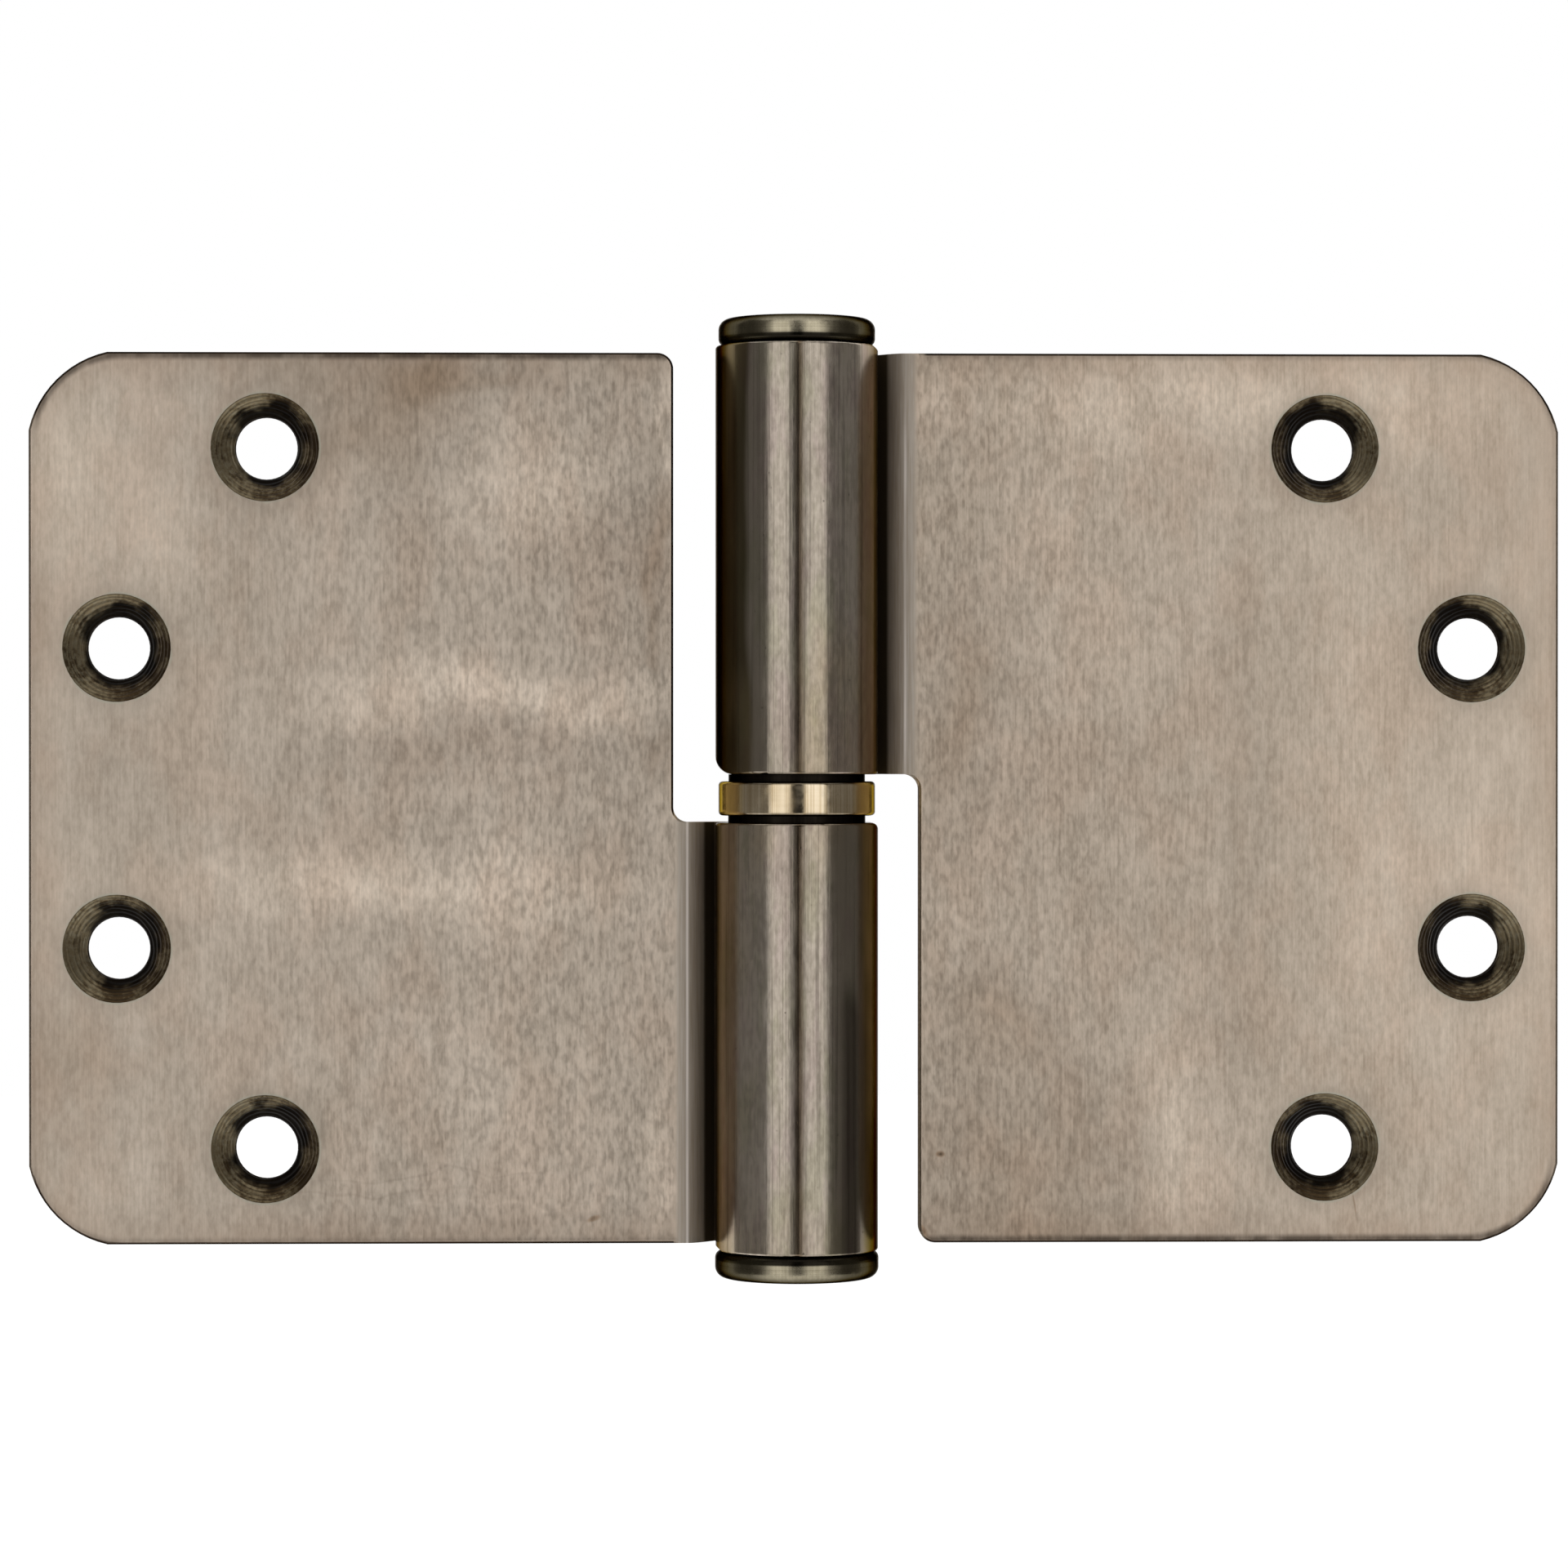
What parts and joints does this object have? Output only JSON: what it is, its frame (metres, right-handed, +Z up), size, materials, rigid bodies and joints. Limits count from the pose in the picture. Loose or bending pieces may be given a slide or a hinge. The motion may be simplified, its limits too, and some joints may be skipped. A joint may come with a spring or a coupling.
{
  "type": "ball bearing lift-off hinge",
  "caption": "Flat-leaf lift-off door hinge with rounded corners, rolled knuckles, an upright pin and a ball bearing between the knuckles.",
  "frame": {"origin": "on the pin's axis, halfway up, in the middle of the bearing; the centre of the box of the hinge laid open flat", "axes": "+Z up along the pin, as the hinge hangs on a door; +X towards the outer edge of the door leaf; +Y out of the backs of the leaves, away from the countersinks"},
  "size_m": [0.153, 0.0162, 0.0954],
  "materials": {
    "brushed_leaf": "vertical brushed grain, warm grey, darker ground knuckles",
    "pin_steel": "turned and ground",
    "cap_steel": "turned, dull dark grey",
    "race_steel": "dark, oiled",
    "shell_steel": "bright turned, a little yellowed",
    "ball_steel": "polished",
    "sleeve_plastic": "plain moulded"
  },
  "bodies": {
    "frame_side": {"frame_leaf": "brushed_leaf", "hinge_pin": "pin_steel", "lower_cap": "cap_steel", "lower_race": "race_steel", "bearing_shell": "shell_steel"},
    "bearing_top": {"upper_race": "race_steel"},
    "door_side": {"door_leaf": "brushed_leaf", "pin_bush": "sleeve_plastic", "upper_cap": "cap_steel"},
    "ball_set": {"ball_01": "ball_steel", "ball_02": "ball_steel", "ball_03": "ball_steel", "ball_04": "ball_steel", "ball_05": "ball_steel", "ball_06": "ball_steel", "ball_07": "ball_steel", "ball_08": "ball_steel", "ball_09": "ball_steel", "ball_10": "ball_steel", "ball_11": "ball_steel", "ball_12": "ball_steel", "ball_13": "ball_steel", "ball_14": "ball_steel"}
  },
  "joints": [
    {"name": "swing", "type": "hinge", "parent": "frame_side", "child": "bearing_top", "pos_m": [0, 0, 0], "axis": [0, 0, 1], "range_deg": [-180, 135]},
    {"name": "lift_off", "type": "slide", "parent": "bearing_top", "child": "door_side", "axis": [0, 0, 1], "range_m": [0, 0.05]},
    {"name": "ball_orbit", "type": "hinge", "parent": "frame_side", "child": "ball_set", "pos_m": [0, 0, 0], "axis": [0, 0, 1], "range_deg": [-90, 67.5]}
  ],
  "couplings": [
    {"joint": "ball_orbit", "follows": "swing", "ratio": 0.5}
  ]
}
